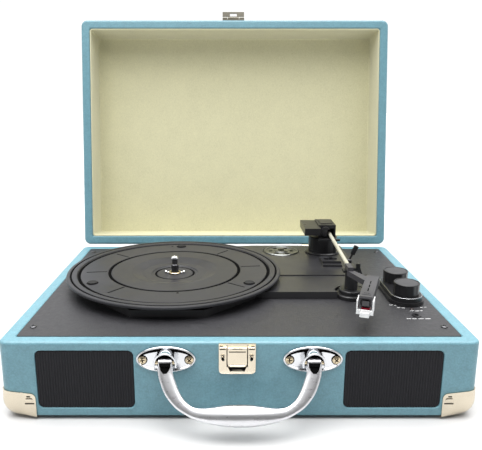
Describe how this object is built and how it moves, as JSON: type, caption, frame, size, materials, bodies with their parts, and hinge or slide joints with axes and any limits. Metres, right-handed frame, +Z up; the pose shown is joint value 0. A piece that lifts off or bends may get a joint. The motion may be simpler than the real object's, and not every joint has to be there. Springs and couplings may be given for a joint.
{
  "type": "suitcase record player",
  "caption": "Portable suitcase record player: covered box with front speakers, belt-driven platter, swinging tonearm, folding handle and a hinged lid that leans back open.",
  "frame": {"origin": "centre of the bounding box in plan, on the surface the feet stand on", "axes": "+X to the right of a person facing the front, +Y to the rear, +Z up; the rest pose has the lid open as shown"},
  "size_m": [0.357, 0.3846, 0.3305],
  "materials": {
    "leatherette": "grained covering over a wooden box",
    "lining": "cream paper-backed cloth",
    "fibreboard": "plain hardboard",
    "deck": "black fine-textured covering on board",
    "mechanism": "black, fine texture",
    "platter": "black, satin",
    "rubber": "matt",
    "speaker": "black paper cone and steel basket",
    "cloth": "black ribbed grille cloth",
    "chrome": "bright plate",
    "nickel": "warm bright nickel",
    "steel": "zinc plated",
    "adapter": "satin",
    "black_plastic": "black, satin",
    "arm_cream": "cream, satin",
    "shell_grey": "grey",
    "stylus_red": "red",
    "guard_white": "white",
    "circuit_board": "green board with parts",
    "lamp_lens": "red lens"
  },
  "bodies": {
    "case": {"base_shell": "leatherette", "bottom_panel": "fibreboard", "deck_panel": "deck", "mechanism_plate": "mechanism", "speed_housing": "mechanism", "foot_1": "rubber", "foot_2": "rubber", "foot_3": "rubber", "foot_4": "rubber", "drive_belt": "rubber", "speaker_left": "speaker", "speaker_right": "speaker", "grille_left": "cloth", "grille_right": "cloth", "spindle": "chrome", "handle_bracket_left": "chrome", "handle_bracket_right": "chrome", "latch_plate": "nickel", "corner_guard_1": "nickel", "corner_guard_2": "nickel", "corner_guard_3": "nickel", "corner_guard_4": "nickel", "hinge_base_leaf_left": "nickel", "hinge_base_leaf_right": "nickel", "motor": "steel", "tonearm_turret": "black_plastic", "arm_rest": "black_plastic", "control_plinth": "black_plastic", "headphone_socket": "black_plastic", "socket_plate": "black_plastic", "amplifier_board": "circuit_board", "control_board": "circuit_board", "power_lamp": "lamp_lens"},
    "lid": {"lid_shell": "leatherette", "lid_lining": "lining", "hinge_lid_leaf_left": "nickel", "hinge_lid_leaf_right": "nickel", "hasp_mount": "nickel"},
    "hasp": {"hasp": "nickel"},
    "latch_tongue": {"latch_tongue": "nickel"},
    "handle": {"handle": "chrome"},
    "platter": {"platter": "platter", "platter_pad_1": "rubber", "platter_pad_2": "rubber", "platter_pad_3": "rubber"},
    "motor_pulley": {"motor_pulley": "steel"},
    "arm_yoke": {"pivot_head": "black_plastic"},
    "tonearm": {"arm_tube": "arm_cream", "headshell": "shell_grey", "cartridge": "shell_grey", "stylus": "stylus_red"},
    "stylus_guard": {"stylus_guard": "guard_white"},
    "cue_lever": {"cue_lever": "black_plastic"},
    "lift_bar": {"lift_bar": "black_plastic"},
    "rest_clip": {"rest_clip": "black_plastic"},
    "volume_knob": {"volume_knob": "black_plastic"},
    "mode_knob": {"mode_knob": "black_plastic"},
    "speed_switch": {"speed_switch": "black_plastic"},
    "adapter": {"adapter_45": "adapter"}
  },
  "joints": [
    {"name": "lid_hinge", "type": "hinge", "parent": "case", "child": "lid", "pos_m": [0, 0.10172, 0.0627], "axis": [1, 0, 0], "range_deg": [0, 99.6]},
    {"name": "hasp_fold", "type": "hinge", "parent": "lid", "child": "hasp", "pos_m": [-0.0016, 0.1517, 0.32342], "axis": [1, 0, 0], "range_deg": [0, 88]},
    {"name": "latch_tongue_swing", "type": "hinge", "parent": "case", "child": "latch_tongue", "pos_m": [-0.0016, -0.16268, 0.0592], "axis": [-1, 0, 0], "range_deg": [0, 70]},
    {"name": "handle_swing", "type": "hinge", "parent": "case", "child": "handle", "pos_m": [0, -0.16648, 0.05], "axis": [-1, 0, 0], "range_deg": [-33, 62]},
    {"name": "platter_spin", "type": "hinge", "parent": "case", "child": "platter", "pos_m": [-0.059, -0.02448, 0.0705], "axis": [0, 0, 1], "continuous": true},
    {"name": "motor_spin", "type": "hinge", "parent": "case", "child": "motor_pulley", "pos_m": [-0.1092, 0.02572, 0.0645], "axis": [0, 0, 1], "continuous": true},
    {"name": "tonearm_swing", "type": "hinge", "parent": "case", "child": "arm_yoke", "pos_m": [0.0955, 0.05452, 0.0885], "axis": [0, 0, -1], "range_deg": [0, 46]},
    {"name": "tonearm_tilt", "type": "hinge", "parent": "arm_yoke", "child": "tonearm", "pos_m": [0.098, 0.04852, 0.0922], "axis": [1, 0, 0], "range_deg": [-15, 0]},
    {"name": "stylus_guard_slide", "type": "slide", "parent": "tonearm", "child": "stylus_guard", "axis": [-0.338, -0.9411, 0], "range_m": [0, 0.03]},
    {"name": "cue_lever_turn", "type": "hinge", "parent": "case", "child": "cue_lever", "pos_m": [0.115, 0.00952, 0.0727], "axis": [1, 0, 0], "range_deg": [0, 60]},
    {"name": "lift_bar_slide", "type": "slide", "parent": "case", "child": "lift_bar", "axis": [0, 0, -1], "range_m": [0, 0.005]},
    {"name": "rest_clip_turn", "type": "hinge", "parent": "case", "child": "rest_clip", "pos_m": [0.1062, -0.06568, 0.0926], "axis": [0, -1, 0], "range_deg": [0, 230]},
    {"name": "volume_turn", "type": "hinge", "parent": "case", "child": "volume_knob", "pos_m": [0.1465, -0.07798, 0.0745], "axis": [0, 0, 1], "range_deg": [-150, 150]},
    {"name": "mode_turn", "type": "hinge", "parent": "case", "child": "mode_knob", "pos_m": [0.1465, -0.04498, 0.0745], "axis": [0, 0, 1], "range_deg": [-45, 45]},
    {"name": "speed_switch_slide", "type": "slide", "parent": "case", "child": "speed_switch", "axis": [1, 0, 0], "range_m": [-0.0045, 0.0045]},
    {"name": "adapter_lift", "type": "slide", "parent": "case", "child": "adapter", "axis": [0, 0, 1], "range_m": [0, 0.02]}
  ],
  "couplings": [
    {"joint": "motor_spin", "follows": "platter_spin", "ratio": 13.778},
    {"joint": "lift_bar_slide", "follows": "cue_lever_turn", "m_per_rad": 0.00477}
  ]
}
